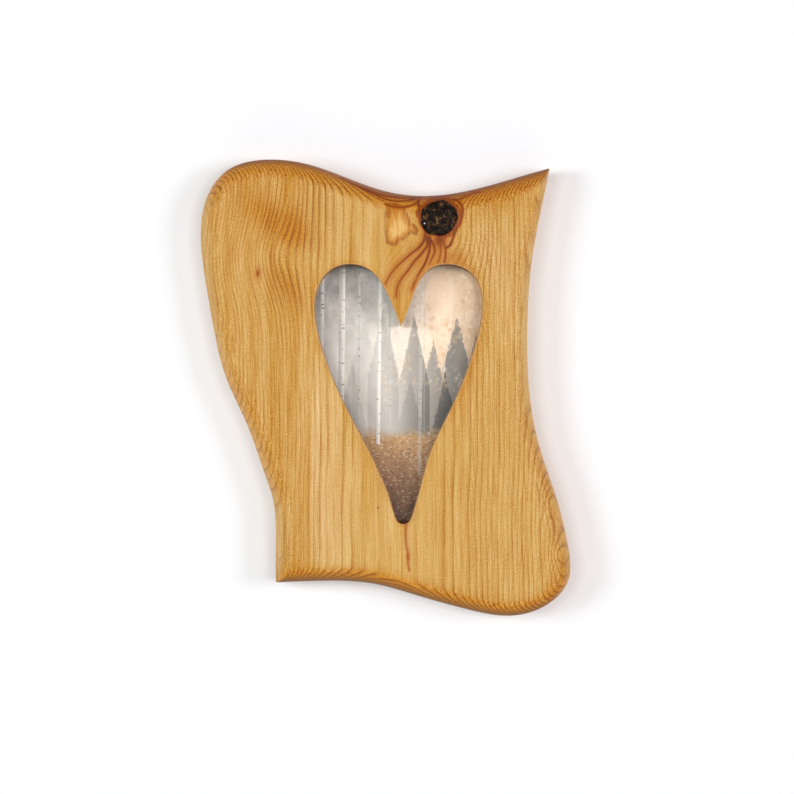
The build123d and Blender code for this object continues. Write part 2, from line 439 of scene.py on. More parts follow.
# %% Net of points for the front
EDGE_ROWS = 12
FLAT_SPACING = 2.3  # mm between points on the flat
FINE_SPACING = 0.6  # mm between points in a marked place
FINE_EDGE = 2.4  # mm from the outline to the first of them
FINE_PLACES = [
    # lowest and highest corner of each marked place in mm
    ((-4.0, -52.0), (45.0, 6.0)),  # the knot, the resin pocket and the lines below them
    ((-73.0, -44.0), (-65.0, -30.0)),  # a pin knot
    ((7.0, -201.0), (17.0, -170.0)),  # the streak under the heart
    ((-7.0, -166.0), (3.0, -155.0)),  # a smaller pin knot
    ((-43.5, -192.0), (-38.5, -112.0)),  # the side of the pale strip
    ((-28.0, 2.0), (-4.4, 17.0)),  # the lines along the top
]
CLOSEST = 0.45  # mm between points of a row
LONGEST_SKIP = 4  # places of a row that a tie may pass over

step_in = inward(outline)
heart_out = -inward(heart)
edge_round = np.where(np.arange(len(outline)) <= bottom_corner, LEFT_TOP_ROUND, RIGHT_BOTTOM_ROUND)
extra, chains = [], []


def add_row(row, keep):
    """Adds the kept points of a row and ties neighbours together."""
    total = sum(len(e) for e in extra)
    kept = []
    for i in np.flatnonzero(keep):
        if kept and np.linalg.norm(row[i] - row[kept[-1]]) < CLOSEST:
            continue
        if kept and i - kept[-1] < LONGEST_SKIP:
            chains.append((total + len(kept) - 1, total + len(kept)))
        kept.append(i)
    extra.append(row[kept])


def hex_grid(low, high, spacing):
    """An even spread of points over a rectangle, every second row shifted by half a step."""
    columns = np.arange(low[0], high[0], spacing)
    levels = np.arange(low[1], high[1], spacing * math.sqrt(0.75))
    return np.array([(x + (j % 2) * spacing / 2, z) for j, z in enumerate(levels) for x in columns])


def in_fine_place(points, margin):
    """Which points lie in a place with the finer spread, or within a margin of one."""
    return np.any([np.all((points > np.array(low) - margin) & (points < np.array(high) + margin), axis=1)
                   for low, high in FINE_PLACES], axis=0)


for k in range(1, EDGE_ROWS + 1):
    reach = edge_round * (1 - math.cos(0.5 * math.pi * k / EDGE_ROWS))
    row = outline + step_in * reach[:, None]
    clear_of_marks = ~in_fine_place(row, 0.3) | (reach < FINE_EDGE)
    add_row(row, (distance_to(closed(outline), row) > reach - 0.03) & inside(outline, row) & clear_of_marks)
for share in (0.35, 1.0, 3.0):
    row = heart + heart_out * HEART_ARRIS * share
    add_row(row, distance_to(closed(heart), row) > HEART_ARRIS * share - 0.02)

flat = hex_grid(outline.min(0), outline.max(0), FLAT_SPACING)
flat = flat[inside(outline, flat) & ~inside(heart, flat) & ~in_fine_place(flat, 0.4)]
flat = flat[(distance_to(left_and_top, flat) > LEFT_TOP_ROUND + 1.2)
            & (distance_to(right_and_bottom, flat) > RIGHT_BOTTOM_ROUND + 1.2)
            & (distance_to(closed(heart), flat) > 3.2)]
extra.append(flat)
for low, high in FINE_PLACES:
    fine = hex_grid(low, high, FINE_SPACING)
    fine = fine[inside(outline, fine) & ~inside(heart, fine)]
    extra.append(fine[(distance_to(closed(outline), fine) > FINE_EDGE)
                      & (distance_to(closed(heart), fine) > 2.2)])
extra = np.vstack(extra)
print("front net:", len(extra), "points,", len(flat), "of them on the flat")

# %% [markdown]
# ## The pine board: all its faces
# The other faces are simpler: the upright side, the eased back edge, the flat back, the recess for the glass
# with its floor, the wall of the heart window and the pilot holes for the screws. Neighbouring faces share
# their points, so the board is one closed skin, as a real board is.

# %% Rings, walls and filled faces
body_points, body_faces = [], []


def add_ring(loop, depth):
    """Adds a loop at a depth (one number, or one for each point) and gives its point numbers."""
    first = len(body_points)
    depths = np.broadcast_to(depth, len(loop))
    body_points.extend((x, y, z) for (x, z), y in zip(loop, depths))
    return list(range(first, first + len(loop)))


def walls(ring, loops):
    """Quads from a ring through further loops of as many points, each with its depth. Gives the last ring."""
    for loop, depth in loops:
        further = add_ring(loop, depth)
        for i in range(len(ring)):
            j = (i + 1) % len(ring)
            body_faces.append((ring[i], ring[j], further[j], further[i]))
        ring = further
    return ring


def fill(outer, holes, inner_points, ties, depth_of):
    """Triangles between an outer ring, the rings of holes and points between them."""
    rings = [outer] + holes
    fixed = [i for ring in rings for i in ring]
    flat_fixed = np.array([(body_points[i][0], body_points[i][2]) for i in fixed])
    plan = np.vstack([flat_fixed, inner_points]) if len(inner_points) else flat_fixed
    edges, start = [], 0
    for ring in rings:
        edges += [(start + i, start + (i + 1) % len(ring)) for i in range(len(ring))]
        start += len(ring)
    edges += [(start + a, start + b) for a, b in ties]
    found, _, faces, sources, _, _ = delaunay_2d_cdt([Vector(p) for p in plan], edges, [], 0, 1e-5)
    numbers, fresh = [], []
    for place, source in zip(found, sources):
        if source and min(source) < len(fixed):
            numbers.append(fixed[min(source)])
        else:
            numbers.append(len(body_points) + len(fresh))
            fresh.append((place.x, place.y))
    if fresh:
        fresh = np.array(fresh)
        body_points.extend((x, y, z) for (x, z), y in zip(fresh, depth_of(fresh)))
    found = np.array([tuple(p) for p in found])
    middle = np.array([found[list(f)].mean(0) for f in faces])
    loops = [np.array([(body_points[i][0], body_points[i][2]) for i in ring]) for ring in rings]
    good = inside(loops[0], middle)
    for hole in loops[1:]:
        good &= ~inside(hole, middle)
    body_faces.extend(tuple(numbers[i] for i in f) for f, g in zip(faces, good) if g)


NO_POINTS = np.empty((0, 2))


def level(depth):
    """A depth function for a flat face."""
    return lambda points: np.full(len(points), depth)


print("points for the front:", len(outline) + len(heart) + len(extra))

# %% Front, side and eased back edge
rim = add_ring(outline, front_depth(outline))
window = add_ring(heart, ARRIS_INNER)
fill(rim, [window], extra, chains, front_depth)
front_count = len(body_points)
print("front:", len(body_faces), "triangles")

SIDE_DEPTHS = (-13.0, -10.6, -8.3, SIDE_BACK)
BACK_ARRIS = BACK - SIDE_BACK


def inset(reach):
    """The outline moved inwards. Points that a sharp corner swallows are spread evenly next to it."""
    moved = outline + step_in * reach
    lost = distance_to(closed(outline), moved) < reach - 0.005
    lost[[0, bottom_corner]] = False
    kept = np.append(np.flatnonzero(~lost), len(outline))
    moved = closed(moved)
    return np.stack([np.interp(np.arange(len(outline)), kept, moved[kept, k]) for k in (0, 1)], axis=1)


side = walls(rim, [(outline, depth) for depth in SIDE_DEPTHS])
back_edge = walls(side, [(inset(BACK_ARRIS * (1 - math.cos(a))), SIDE_BACK + BACK_ARRIS * math.sin(a))
                         for a in (math.radians(angle) for angle in (30, 60, 90))])
print("with the sides:", len(body_faces), "faces")

# %% Window, recess and pilot holes
WINDOW_STEPS = 6
HOLE_BOTTOM = -15.0

window_depths = np.linspace(ARRIS_INNER, REBATE_FLOOR, WINDOW_STEPS + 1)[1:]
window_back = walls(window, [(heart, depth) for depth in window_depths])
recess_raw, hole_loops = back_raw[1], back_raw[2:]
recess = add_ring(recess_raw, BACK)
recess_floor = walls(recess, [(recess_raw, REBATE_FLOOR)])
fill(recess_floor, [window_back], NO_POINTS, [], level(REBATE_FLOOR))
holes = []
for loop in hole_loops:
    mouth = add_ring(loop, BACK)
    body_faces.append(tuple(walls(mouth, [(loop, HOLE_BOTTOM)])))
    holes.append(mouth)
fill(back_edge, [recess] + holes, NO_POINTS, [], level(BACK))
print("whole board:", len(body_points), "points and", len(body_faces), "faces,", len(holes), "pilot holes")

# %% Mesh of the board
CREASE = math.radians(38)

board_mesh = bpy.data.meshes.new("pine_frame_body")
board_mesh.from_pydata([tuple(c * MM for c in p) for p in body_points], [], body_faces)
skin = bmesh.new()
skin.from_mesh(board_mesh)
bmesh.ops.recalc_face_normals(skin, faces=skin.faces)
open_edges = [e for e in skin.edges if len(e.link_faces) != 2]
print("open edges:", [[round(c / MM, 2) for v in e.verts for c in v.co] for e in open_edges])
skin.to_mesh(board_mesh)
skin.free()
board_mesh.polygons.foreach_set("use_smooth", [True] * len(board_mesh.polygons))
board_mesh.set_sharp_from_angle(angle=CREASE)
board = bpy.data.objects.new("pine_frame_body", board_mesh)
bpy.context.scene.collection.objects.link(board)
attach(board, "frame")
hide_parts("frame_body")

# %% [markdown]
# ## How the grain flows
# A pine trunk is a stack of cones, one ring a year. Sawn lengthwise, each ring shows as a line: pale spring
# wood with a thin dark edge of summer wood. The shader counts rings from the distance to the middle of the
# trunk, which lies behind the board. Knots push the rings aside. That push could be painted by hand, but it
# is easier to change when it is worked out here, for each point of the mesh, and stored on it. The marks in
# the wood are stored in the same way, and so are the painted shade along the lower edge and the place of the
# painted highlight on the heart's arris.

# %% Push of the knots on the rings
spots = np.array(body_points)
px, pz = spots[:, 0], spots[:, 2]
plan = spots[:, [0, 2]]
on_front = np.arange(len(spots)) < front_count


def ease(a, b, t):
    """0 before a, 1 after b, smooth between."""
    s = np.clip((t - a) / (b - a), 0.0, 1.0)
    return s * s * (3 - 2 * s)


def swell(place, left, right, along):
    """A soft mound of height 1, with its reach to the left, to the right and along the grain in mm."""
    reach = np.where(px < place[0], left, right)
    return np.exp(-((px - place[0]) / reach) ** 2 - ((pz - place[1]) / along) ** 2)


def band(place, lean, along, across):
    """A soft bar of height 1 that leans by an angle in degrees, with its reach along and across in mm."""
    a = math.radians(lean)
    dx, dz = px - place[0], pz - place[1]
    return np.exp(-((dx * math.cos(a) + dz * math.sin(a)) / along) ** 2
                  - ((dz * math.cos(a) - dx * math.sin(a)) / across) ** 2)


# The middle of the trunk, the width of its rings and the swelling at the upper left, in mm
PITH_X = 6.5
PITH_DEPTH = 48.0
INNER_RING = 2.5
OUTER_RING = 2.1
SHOULDER = (-62.0, -28.5)

# Slow waves keep the rings from being even. They are weak over the middle of the trunk.
slow_waves = (0.16 * np.sin(pz / 29.0 + px / 70.0 + 0.4) + 0.10 * np.sin(pz / 15.0 - px / 45.0 + 1.9)
              + 0.05 * np.sin(pz / 8.0 + px / 21.0 + 0.7))
slow_waves *= np.clip(np.abs(px - PITH_X) / 40.0, 0.15, 1.0)
# The rings swing aside round the dead knot.
beside_knot = ease(14.0, 34.0, px) * np.exp(-(np.maximum(px - 36.0, 0.0) / 20.0) ** 2)
beside_knot *= ease(-44.0, -14.0, pz)
# Closed loops show where the lower right bulge cuts through a swelling of the rings.
ears = 1.6 * swell((88.8, -160.0), 6.0, 4.2, 10.0) + 1.5 * swell((93.0, -188.5), 5.5, 4.0, 7.0)
# Along the top and the bottom the lines bend over as the edge rounds off.
sunk = np.clip(spots[:, 1] - FRONT, 0.0, LEFT_TOP_ROUND) / LEFT_TOP_ROUND
end_sweep = 3.0 * sunk * (ease(-10.0, 6.0, pz) + ease(185.0, 200.0, -pz))
# The outermost rings, at the left, are narrower.
finer_left = 0.08 * np.maximum(-42.0 - px, 0.0)
pull = 3.1 * beside_knot + 4.2 * swell(SHOULDER, 36.0, 15.0, 22.0) + end_sweep
pull -= slow_waves + ears + finer_left

# The fibres drift with the rings, and lean over in the bed of wood below the knot.
slant = np.abs(px - PITH_X) / np.hypot(px - PITH_X, PITH_DEPTH)
below_knot = ease(-6.0, 2.0, px) * (1 - ease(60.0, 75.0, -pz))
flame_bed = below_knot * (1 - ease(26.0, 34.0, px)) * ease(14.0, 22.0, -pz)
lean_bed = below_knot * (1 - ease(22.0, 62.0, px))
drift = pull * OUTER_RING / np.maximum(slant, 0.4) + 18.0 * ease(17.0, 46.0, -pz) * lean_bed
print("strongest pull in rings:", round(float(pull.max()), 2))

# %% Lines drawn on the wood
LINE_STEP = 0.5  # mm
LINE_REACH = 8.0  # mm


def stroke(run, width, fade=0.0, taper=0.0):
    """A soft mark along a run of (x, z) points in mm, which can fade and thin towards its end."""
    line = smooth_run(np.array(run), LINE_STEP)
    near_line = np.all((plan > line.min(0) - LINE_REACH) & (plan < line.max(0) + LINE_REACH), axis=1)
    close = np.flatnonzero(on_front & near_line)
    along = np.linalg.norm(plan[close, None] - line[None], axis=2).argmin(axis=1) / len(line)
    mark = np.zeros(len(plan))
    mark[close] = np.exp(-(distance_to(line, plan[close]) / (width * (1 - taper * along))) ** 2)
    mark[close] *= 1 - fade * along
    return mark


# Dark lines that run from the knot down to the heart, between the lobes
FLAME = [
    [(20.9, -15.6), (20.3, -19.5), (17.7, -23.0), (13.4, -26.4), (9.6, -29.7), (4.8, -34.4), (1.5, -39.1),
     (-0.5, -43.7)],
    [(22.6, -17.6), (22.0, -22.2), (19.6, -25.7), (15.9, -29.7), (11.5, -35.6), (7.5, -41.0), (5.8, -45.8),
     (5.4, -50.0)],
    [(23.6, -17.6), (23.0, -25.7), (20.9, -31.7), (17.2, -37.8), (14.9, -42.5), (13.4, -46.4)],
    [(24.0, -19.0), (25.7, -22.2), (26.0, -25.7), (24.2, -29.7), (23.0, -32.4)],
]
# Shorter ones just below the knot, and thin ones under the top edge at both sides of it
SKIRT_LINES = [
    [(27.7, -17.0), (29.0, -21.0), (29.2, -26.0), (27.7, -31.7)],
    [(30.5, -17.0), (31.5, -21.7), (32.0, -25.7), (31.0, -31.7)],
]
TOP_LINES = [
    [(-18.3, 11.6), (-7.5, 6.2), (3.2, 2.2), (9.0, 2.0), (14.5, 3.0), (19.9, 4.1)],
    [(-24.7, 14.8), (-12.4, 9.2), (-0.5, 4.9), (7.5, 3.9), (19.9, 5.2)],
    [(-0.5, 0.3), (8.6, -1.5), (12.9, -0.7), (18.3, 3.0)],
    [(34.9, 2.5), (39.2, 3.0), (44.6, 5.2), (50.5, 7.4)],
]
# Bark at the sides of the knot, and the streak under the heart's tip
BARK_RIGHT = [(36.0, 3.0), (39.0, 1.5), (41.1, -2.2), (40.8, -6.1), (39.7, -10.3), (37.6, -13.6),
              (36.0, -17.6), (34.4, -21.7), (31.7, -23.5)]
BARK_LEFT = [(17.2, 2.5), (17.8, -2.0), (18.2, -6.5), (18.6, -10.9)]
STREAK = [(10.7, -171.0), (10.5, -178.0), (11.0, -184.0), (11.8, -188.5), (11.9, -192.0), (12.6, -197.0)]

marks = [0.95 * stroke(run, 1.05, 0.25, 0.35) for run in FLAME]
marks += [0.5 * stroke(run, 2.6, 0.35) for run in FLAME]
marks += [0.75 * stroke(run, 0.9) for run in SKIRT_LINES]
marks += [0.85 * stroke(run, 0.7) for run in TOP_LINES]
marks += [0.9 * stroke(BARK_RIGHT, 0.9), 0.9 * stroke(BARK_LEFT, 1.0), 0.6 * stroke(STREAK, 0.8)]
print("lines drawn:", len(marks))

# %% Red bark and stains
STAINED_SPOTS = [
    # strength, place, reach to the left, to the right and along the grain in mm
    (0.75, (10.7, -171.5), 0.8, 0.8, 5.0),  # two thicker parts of the streak
    (0.72, (11.8, -189.5), 1.1, 1.1, 5.0),
    (0.8, (29.0, -19.0), 5.0, 4.5, 6.5),  # red wood round the knot
    (0.9, (22.5, -18.5), 2.4, 2.4, 4.0),
    (0.3, (18.0, -30.0), 9.0, 7.0, 9.0),
    (0.8, (28.4, 6.0), 8.0, 8.0, 4.0),
    (0.3, (33.5, -28.0), 8.0, 10.0, 5.0),
    (0.95, (-68.8, -36.9), 0.8, 0.8, 2.3),  # pin knots
    (0.45, (-68.6, -36.9), 2.0, 2.0, 4.0),
    (0.95, (-4.3, -162.9), 0.6, 0.6, 0.6),
]
# Bark rings the knot, widest at the upper right, with a ragged outer side.
way = np.arctan2(pz - KNOT[1], px - KNOT[0])
knot_share = np.hypot(px - KNOT[0], pz - KNOT[1]) / knot_edge(way)
past_rim = np.maximum(knot_share - 1.0, 0.0)
bark_width = 0.05 + 0.22 * ease(-0.95, -0.55, np.cos(way - 0.87))
bark_width = np.maximum(0.04, bark_width + 0.03 * np.sin(7 * way) + 0.03 * np.sin(13 * way + 1))
bark_ring = 0.7 * (1 - ease(0.75 * bark_width, 1.15 * bark_width, past_rim))
# A red-brown tint along the hollow of the top edge, and at its right end.
top_gap = distance_to(left_and_top[left_and_top[:, 1] > 0.0], plan)
top_glow = (1 - ease(4.0, 11.0, top_gap)) * ease(38.0, 48.0, px)
hollow = (1 - ease(3.5, 6.5, top_gap)) * ease(-26.0, -8.0, px) * (1 - ease(50.0, 64.0, px))

marks += [strength * swell(*spot) for strength, *spot in STAINED_SPOTS]
marks += [1.2 * np.exp(-past_rim / 0.06), bark_ring, 0.16 * top_glow, 0.24 * hollow]
ember = np.maximum.reduce(marks) * (1 - ease(-13.0, -8.3, spots[:, 1]))
print("marked points:", int((ember > 0.3).sum()))

# %% Bold and calm ring lines
BOLD_PATCHES = [
    # strength, place, reach to the left, to the right and along the grain in mm
    (0.75, (-36.0, 2.0), 9.0, 9.0, 25.0),  # over the heart's left half
    (0.3, (-47.0, -10.0), 8.0, 5.0, 12.0),  # right end of the upper wavy patch
    (0.28, (44.0, -26.0), 10.0, 22.0, 22.0),  # beside the knot
]
upper_patch = band((-57.0, -11.0), -37.0, 17.0, 6.5)
lower_patch = band((-54.0, -42.0), -58.0, 13.0, 7.0)
lower_right_gap = distance_to(right_and_bottom, plan)
low_gap = distance_to(right_and_bottom[right_and_bottom[:, 1] < -195.0], plan)
near_top = (1 - ease(2.0, 10.0, top_gap)) * ease(-52.0, -36.0, px)
near_bottom = (1 - ease(2.0, 8.0, low_gap)) * (1 - ease(20.0, 50.0, px))

# Bold in the wavy patches at the upper left, and at both sides.
bold = sum(strength * swell(*patch) for strength, *patch in BOLD_PATCHES)
bold += 0.75 * upper_patch + 0.75 * lower_patch
bold += 0.04 * ease(44.0, 56.0, -px) + 0.12 * ease(22.0, 40.0, px) * ease(70.0, 120.0, -pz)
right_bulge = 0.2 + 0.35 * swell((91.0, -168.0), 12.0, 12.0, 24.0)
bold += right_bulge * (1 - ease(3.0, 14.0, lower_right_gap)) * ease(90.0, 130.0, -pz)
# Calm over the middle of the trunk and in the bed below the knot, where the saw runs along the rings.
calm = 0.9 * flame_bed + 0.45 * np.exp(-((px - PITH_X) / 13.0) ** 2)
bold -= calm * (1 - near_top) * (1 - near_bottom)
# Bold again where the rounded top and bottom cut across the rings.
bold += (0.45 + 0.45 * ease(-28.0, -10.0, px)) * near_top + 0.55 * near_bottom
bold = np.clip(bold, -1.0, 1.0)
print("points with bold lines:", int((bold > 0.3).sum()), "and with calm ones:", int((bold < -0.3).sum()))

# %% Deeper and paler wood, and painted shade along the lower edge
TONED_PATCHES = [
    # strength (below 0 for paler wood), place, reach to the left, to the right and along the grain in mm
    (0.6, (-47.0, -11.0), 8.0, 5.0, 11.0),
    (0.4, (-46.0, 12.0), 10.0, 10.0, 8.0),
    (0.42, (-72.0, 0.0), 24.0, 24.0, 22.0),
    (0.3, (-49.0, -62.0), 8.0, 8.0, 18.0),
    (0.8, (58.0, 3.0), 16.0, 18.0, 9.0),
    (0.9, (4.5, -3.0), 4.5, 4.5, 6.0),
    (0.45, (33.5, -28.0), 8.0, 10.0, 5.0),
    (0.15, (-12.5, -160.0), 5.0, 4.0, 40.0),
    (-0.14, (-15.0, -12.0), 14.0, 12.0, 20.0),
    (-0.36, (56.0, -38.0), 14.0, 22.0, 40.0),
    (-0.3, (-40.0, -28.0), 6.0, 6.0, 8.0),
]
deep_tone_and_shade = sum(strength * swell(*patch) for strength, *patch in TONED_PATCHES)
deep_tone_and_shade += 0.95 * upper_patch + 0.6 * lower_patch + 0.8 * np.exp(-past_rim / 0.3) + 0.35 * flame_bed
# Outer wood at the left, and the pale strip next to it with its sharp side.
low_half = ease(60.0, 110.0, -pz)
deep_tone_and_shade += 0.12 * ease(37.0, 43.0, -px) + 0.14 * low_half * ease(40.2, 41.4, -px)
deep_tone_and_shade -= 0.55 * low_half * ease(-41.4, -40.2, px) * (1 - ease(-27.0, -20.0, px))
deep_tone_and_shade -= 0.05 * low_half * ease(-27.0, -20.0, px) * (1 - ease(4.0, 20.0, px))
# Darker along the lower edge, as painted shade under the slab, and darker round the rim of the heart.
painted_shade_low_edge = 1 - ease(2.0, 14.0, lower_right_gap)
deep_tone_and_shade += (0.06 + 0.74 * ease(180.0, 196.0, -pz)) * painted_shade_low_edge * ease(95.0, 150.0, -pz)
heart_gap = distance_to(closed(heart), plan)
deep_tone_and_shade += 0.25 * (1 - ease(1.0, 3.0, heart_gap))
deep_tone_and_shade += 0.45 * (1 - ease(2.0, 6.5, heart_gap)) * ease(34.0, 42.0, px)
deep_tone_and_shade = np.clip(deep_tone_and_shade, -1.0, 1.0)
print("mean tone of the front:", round(float(deep_tone_and_shade[on_front].mean()), 3))

# %% Resin pocket, and storing the marks
RESIN_POCKET = np.array([
    (0.2, -0.7), (-0.2, -6.1), (-0.5, -12.3), (0.5, -20.3), (3.5, -21.7), (5.4, -21.7), (6.9, -19.0),
    (9.6, -19.0), (11.5, -16.3), (13.4, -15.0), (16.1, -16.0), (16.9, -13.6), (14.9, -10.9), (12.9, -10.3),
    (12.2, -7.6), (10.7, -4.9), (10.2, -2.2), (5.4, 0.4)])
in_pocket = inside(RESIN_POCKET, plan) & on_front
pocket = distance_to(closed(RESIN_POCKET), plan) * np.where(in_pocket, 1.0, -1.0)
# The eased arris of the heart, which the shader paints with a pale highlight.
arris = (1 - ease(0.2, 0.6, heart_gap)) * (spots[:, 1] < ARRIS_INNER + 0.1)
stains_and_painted_light = {"pull": pull, "drift": drift, "ember": ember, "bold": bold, "deep_tone_and_shade": deep_tone_and_shade, "pocket": pocket,
          "arris": arris}
for name, values in stains_and_painted_light.items():
    layer = board_mesh.attributes.new(name, "FLOAT", "POINT")
    layer.data.foreach_set("value", values.astype(np.float32))
print("stored on the board:", list(stains_and_painted_light))

# %% [markdown]
# ## Oiled pine
# Planed and sanded pine, rubbed with oil: a warm honey ground, brown ring lines that shade up to a crisp
# edge, fine fibres along the grain, and a low satin shine. Across the grain, at the top and bottom of the
# rounded edge, the open fibres drink more oil: they go a dark red brown above and a greyer brown below, which
# is partly painted shade of the underside. Pale painted highlights lie on the steep sides and on the heart's
# arris. A picture of wood would be quicker, but rings that are counted from the middle of the trunk also run
# on round the edges and over the back.

# %% Oiled pine: counting the rings
INNER_RINGS_REACH = 15.0  # mm
RING_PHASE = 0.08
WOBBLE_ACROSS = 9.0  # mm
WOBBLE_ALONG = 50.0  # mm
WOBBLE_RINGS = 0.65

# Sanded softwood under oil: deep and warm, with a soft sheen that comes and goes along the fibres.
pine, tree = new_material("pine board, sanded and oiled")
in_mm = place_in_mm(tree)
xyz = node(tree, "SeparateXYZ", {0: in_mm})
sideways = node(tree, "Math", {0: xyz["X"], 1: PITH_X}, operation="SUBTRACT")
inwards = node(tree, "Math", {0: FRONT + PITH_DEPTH, 1: xyz["Y"]}, operation="SUBTRACT")
spoke = node(tree, "CombineXYZ", {"X": sideways[0], "Y": inwards[0]})
radius = node(tree, "VectorMath", {0: spoke[0]}, operation="LENGTH")
past_face = node(tree, "Math", {0: radius["Value"], 1: PITH_DEPTH}, operation="SUBTRACT")
inner_count = node(tree, "Math", {0: past_face[0], 1: 1 / INNER_RING, 2: RING_PHASE},
                   operation="MULTIPLY_ADD")
beyond = node(tree, "Math", {0: past_face[0], 1: INNER_RINGS_REACH}, operation="SUBTRACT")
outside = node(tree, "Math", {0: beyond[0], 1: 0.0}, operation="MAXIMUM")
even_count = node(tree, "Math", {0: outside[0], 1: 1 / OUTER_RING - 1 / INNER_RING, 2: inner_count[0]},
                  operation="MULTIPLY_ADD")
pulled = node(tree, "Attribute", attribute_name="pull")
bent_count = node(tree, "Math", {0: even_count[0], 1: pulled["Fac"]}, operation="SUBTRACT")
wobble = long_noise(tree, in_mm, WOBBLE_ACROSS, WOBBLE_ALONG, 5.0, 0.58)
ring_count = node(tree, "Math", {0: wobble, 1: WOBBLE_RINGS, 2: bent_count[0]}, operation="MULTIPLY_ADD")
ring_number = node(tree, "Math", {0: ring_count[0]}, operation="FLOOR")
ring_share = node(tree, "Math", {0: ring_count[0]}, operation="FRACT")
print("rings are", INNER_RING, "mm wide near the middle and", OUTER_RING, "mm further out")

# %% Oiled pine: ring lines
FADE_ACROSS = 3.5  # mm
FADE_ALONG = 60.0  # mm
BOLD_GAIN = 0.9
EDGE_GAIN = 0.3

summer_wood = node(tree, "ValToRGB", {0: ring_share[0]},
                   stops=[(0.0, 0.10), (0.28, 0.0), (0.55, 0.22), (0.76, 0.55), (0.87, 1.0), (0.94, 0.6),
                          (1.0, 0.10)])
ring_luck = node(tree, "TexWhiteNoise", {"W": ring_number[0]}, noise_dimensions="1D")
ring_strength = node(tree, "ValToRGB", {0: ring_luck["Value"]}, stops=[(0.0, 0.4), (0.8, 0.85), (1.0, 1.1)])
fading = long_noise(tree, in_mm, FADE_ACROSS, FADE_ALONG, 3.0)
faded = node(tree, "MapRange", {"Value": fading, "From Min": 0.32, "From Max": 0.65,
                                "To Min": 0.5, "To Max": 1.12})
uneven = node(tree, "Math", {0: ring_strength["Color"], 1: faded["Result"]}, operation="MULTIPLY")
boldness = node(tree, "Attribute", attribute_name="bold")
face_weight = node(tree, "Math", {0: boldness["Fac"], 1: BOLD_GAIN, 2: uneven[0]},
                   operation="MULTIPLY_ADD", use_clamp=True)
surface = node(tree, "TexCoord")
normal = node(tree, "SeparateXYZ", {0: surface["Normal"]})
across_grain = node(tree, "Math", {0: normal["Z"]}, operation="ABSOLUTE")
cut_across = node(tree, "MapRange", {"Value": across_grain[0], "From Min": 0.07, "From Max": 0.4})
ring_weight = node(tree, "Math", {0: cut_across["Result"], 1: EDGE_GAIN, 2: face_weight[0]},
                   operation="MULTIPLY_ADD", use_clamp=True)
ring_line = node(tree, "Math", {0: summer_wood["Color"], 1: ring_weight[0]},
                 operation="MULTIPLY", use_clamp=True)
print("ring lines fade and return every", FADE_ALONG, "mm or so")

# %% Oiled pine: fibres
# Real fibres are some hundredths of a millimetre wide. They are drawn much coarser so that they show, in mm.
FIBRE_WIDTH = 0.6
FIBRE_LENGTH = 20.0
THREAD_WIDTH = 0.9
THREAD_LENGTH = 110.0
PORE_WIDTH = 0.45
PORE_LENGTH = 1.0

drifted = node(tree, "Attribute", attribute_name="drift")
flow_x = node(tree, "Math", {0: drifted["Fac"], 1: xyz["X"]}, operation="ADD")
flow = node(tree, "CombineXYZ", {"X": flow_x[0], "Y": xyz["Y"], "Z": xyz["Z"]})
fibres = long_noise(tree, flow[0], FIBRE_WIDTH, FIBRE_LENGTH, 3.0, 0.65)
threads = long_noise(tree, flow[0], THREAD_WIDTH, THREAD_LENGTH, 2.0)
pores = long_noise(tree, flow[0], PORE_WIDTH, PORE_LENGTH, 2.0)
thread_line = node(tree, "MapRange", {"Value": threads, "From Min": 0.54, "From Max": 0.68, "To Max": 0.45})
line = node(tree, "Math", {0: ring_line[0], 1: thread_line["Result"]}, operation="MAXIMUM")
fibre_tone = node(tree, "MapRange", {"Value": fibres, "From Min": 0.3, "From Max": 0.7,
                                     "To Min": 1.36, "To Max": 0.72})
pore_tone = node(tree, "MapRange", {"Value": pores, "From Min": 0.3, "From Max": 0.7,
                                    "To Min": 0.73, "To Max": 1.29})
full_tone = node(tree, "Math", {0: fibre_tone["Result"], 1: pore_tone["Result"]}, operation="MULTIPLY")
off_middle = node(tree, "Math", {0: sideways[0]}, operation="ABSOLUTE")
hairy = node(tree, "MapRange", {"Value": off_middle[0], "From Min": 15.0, "From Max": 60.0, "To Min": 0.65})
tone = node(tree, "Mix", {0: hairy["Result"], 2: 1.0, 3: full_tone[0]})
print("fibres", FIBRE_WIDTH, "mm wide, drawn coarser than real ones so that they show")

# %% Oiled pine: spring and summer wood
STRIP_WIDTH = 7.0  # mm
STRIP_LENGTH = 110.0  # mm

strips = long_noise(tree, in_mm, STRIP_WIDTH, STRIP_LENGTH, 4.0, 0.6)
swing = node(tree, "MapRange", {"Value": strips, "From Min": 0.36, "From Max": 0.64})
plain_right = node(tree, "MapRange", {"Value": xyz["X"], "From Min": 5.0, "From Max": 40.0,
                                      "To Min": 1.0, "To Max": 0.35})
golden = node(tree, "Mix", {0: plain_right["Result"], 2: 0.5, 3: swing["Result"]})
# The stored tone holds the wood's deeper and paler patches and the painted shade along the lower edge.
deeper_and_shaded = node(tree, "Attribute", attribute_name="deep_tone_and_shade")
paler = node(tree, "MapRange", {"Value": deeper_and_shaded["Fac"], "From Min": 0.0, "From Max": -1.0})
bold_share = node(tree, "Math", {0: boldness["Fac"], 1: 0.0}, operation="MAXIMUM")
open_grain = node(tree, "MapRange", {"Value": across_grain[0], "From Min": 0.03, "From Max": 0.4,
                                     "To Max": 0.85})
spring = layered(tree, "#d4ad6a", (golden[0], "#c49440"), (paler["Result"], "#deb880"),
                 (deeper_and_shaded["Fac"], "#c08220"), (open_grain["Result"], "#cf8a29"))
summer = layered(tree, "#ae741f", (deeper_and_shaded["Fac"], "#98560c"), (bold_share[0], "#8c490c"),
                 (cut_across["Result"], "#783808"))
striped = layered(tree, spring, (line[0], summer))
fibred = node(tree, "Gamma", {"Color": striped, "Gamma": tone[0]})
print("strips of tone", STRIP_WIDTH, "mm wide")

# %% Oiled pine: the resin pocket
RESIN_STREAK = 1.1  # mm
RESIN_LENGTH = 5.0  # mm

